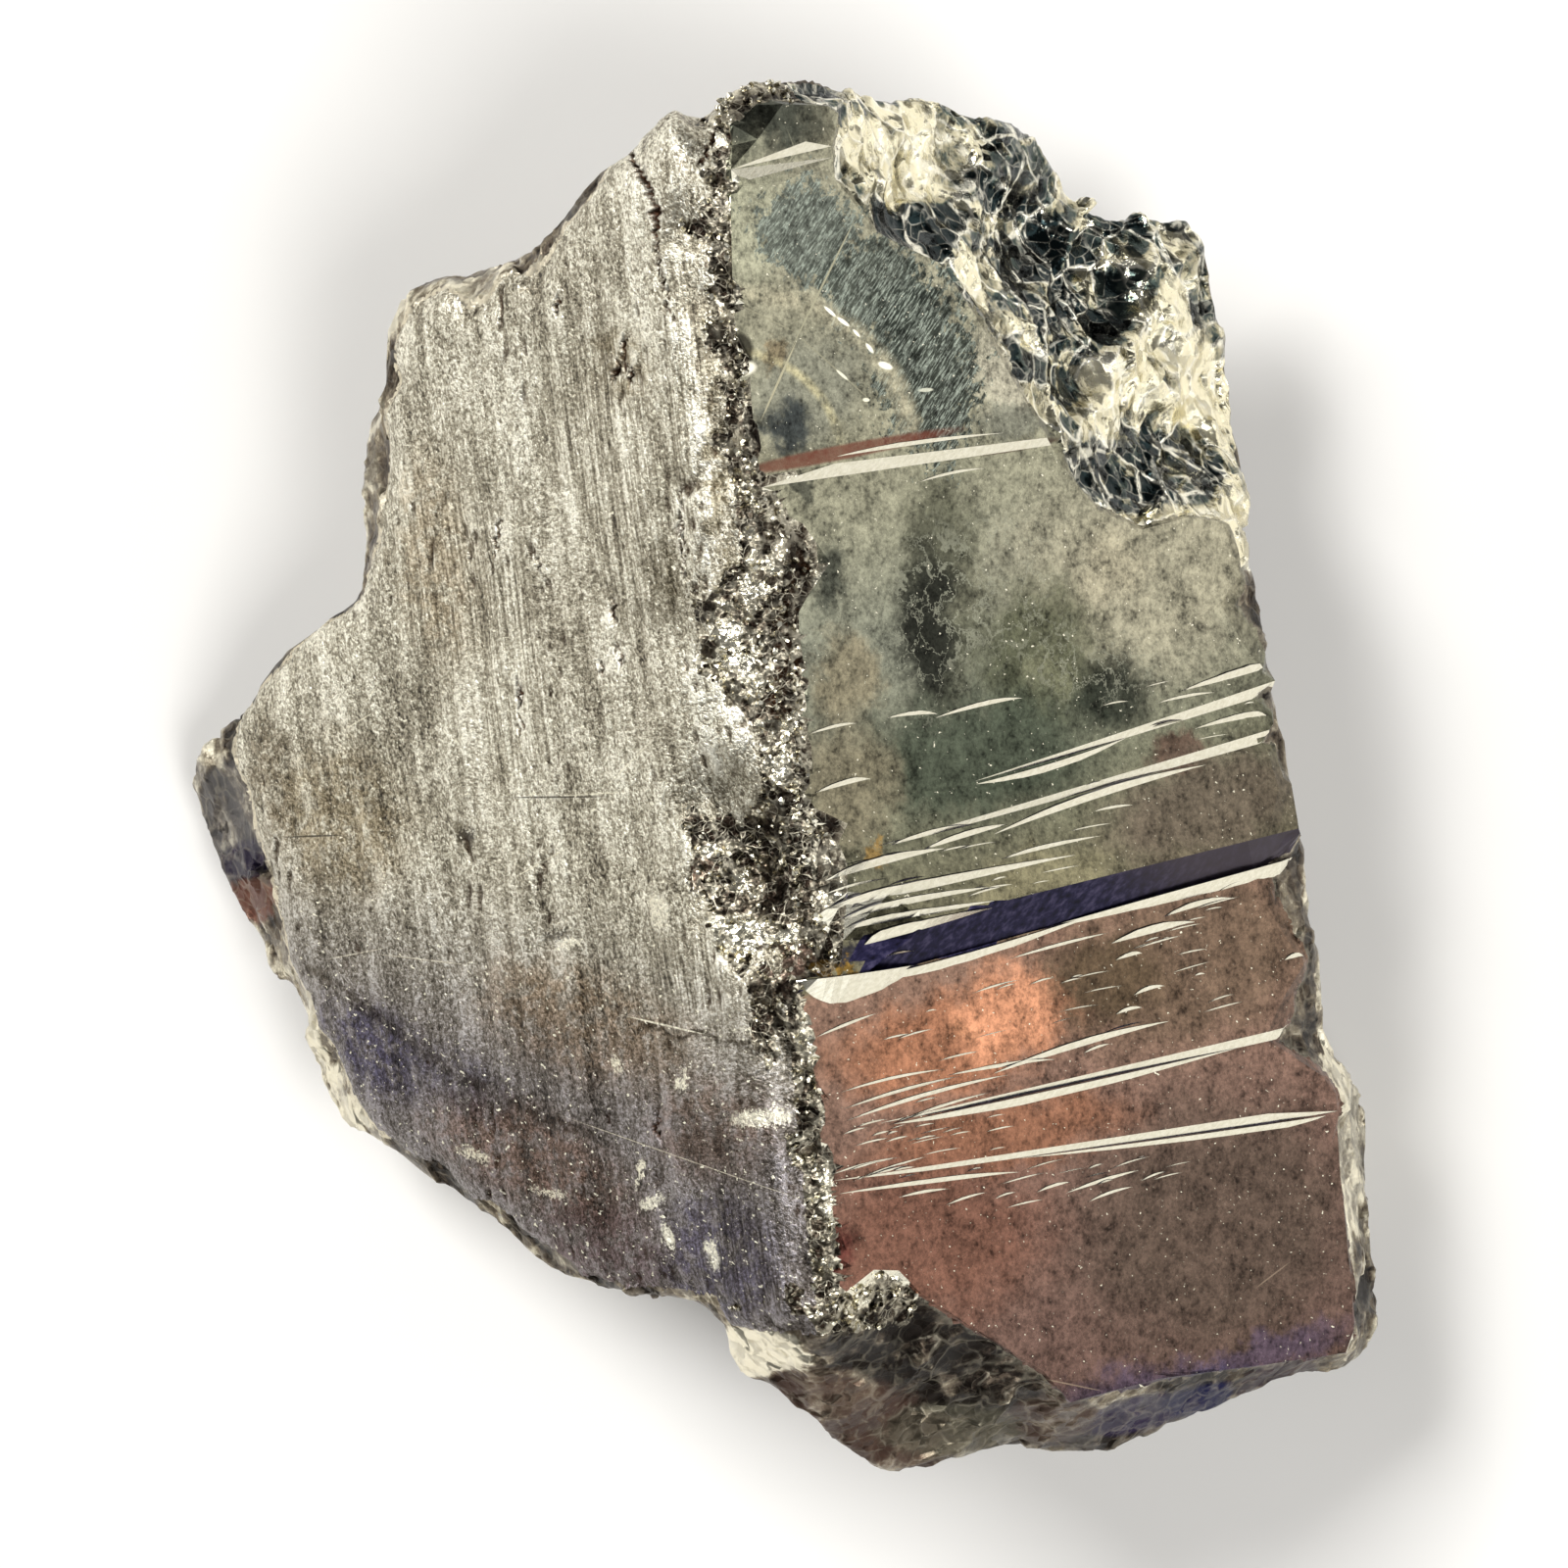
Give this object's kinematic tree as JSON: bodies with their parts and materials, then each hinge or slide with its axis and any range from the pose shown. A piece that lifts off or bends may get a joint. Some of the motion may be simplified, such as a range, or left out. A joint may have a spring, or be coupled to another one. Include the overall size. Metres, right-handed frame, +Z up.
{
  "type": "pyrite cluster",
  "caption": "Intergrown pyrite lump: a smooth cube face with growth ledges meets a striated one along a worn ridge, with shell-like breaks around them and a rough broken back.",
  "frame": {"origin": "middle of the bounding box in X and Y, at the level of the base that the lump rests on", "axes": "+Y runs along the worn ridge towards the end with the shell-like break, +X towards the foot of the smooth face with the ledges, +Z up from the base through the ridge"},
  "size_m": [0.0524, 0.0588, 0.0339],
  "materials": {
    "pyrite": "bare pyrite, smooth and slightly tarnished on one cube face, finely striated on the other, bright where it is freshly broken"
  },
  "bodies": {
    "root": {"pyrite_cluster": "pyrite"}
  },
  "joints": []
}
